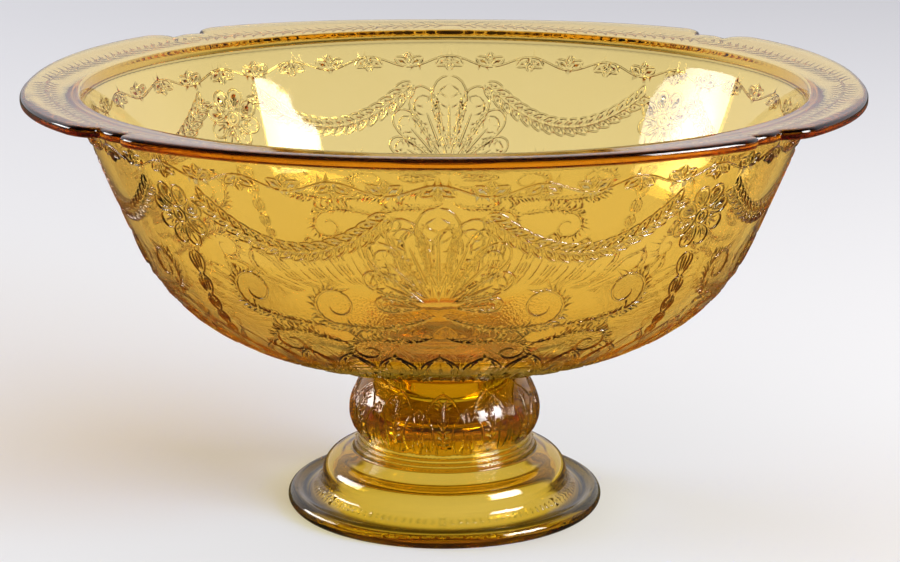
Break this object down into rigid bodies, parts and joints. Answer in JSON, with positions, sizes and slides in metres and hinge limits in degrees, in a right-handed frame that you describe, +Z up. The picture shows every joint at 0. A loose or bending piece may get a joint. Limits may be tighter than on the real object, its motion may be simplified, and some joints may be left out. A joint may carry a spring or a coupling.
{
  "type": "footed bowl",
  "caption": "Large pressed-glass centrepiece bowl with a lobed, flanged rim on a ball-stem pedestal foot.",
  "frame": {"origin": "middle of the flat ring that the pedestal stands on", "axes": "+Z up along the axis of the bowl; a lobe of the rim faces each of +X, -X, +Y and -Y, and the notched ears are at the corners between them"},
  "size_m": [0.2864, 0.2864, 0.1528],
  "materials": {
    "bowl_glass": "fire-polished amber pressed glass with low raised ornament",
    "pedestal_glass": "fire-polished yellow-olive pressed glass with low raised ornament"
  },
  "bodies": {
    "root": {"bowl": "bowl_glass", "pedestal": "pedestal_glass"}
  },
  "joints": []
}
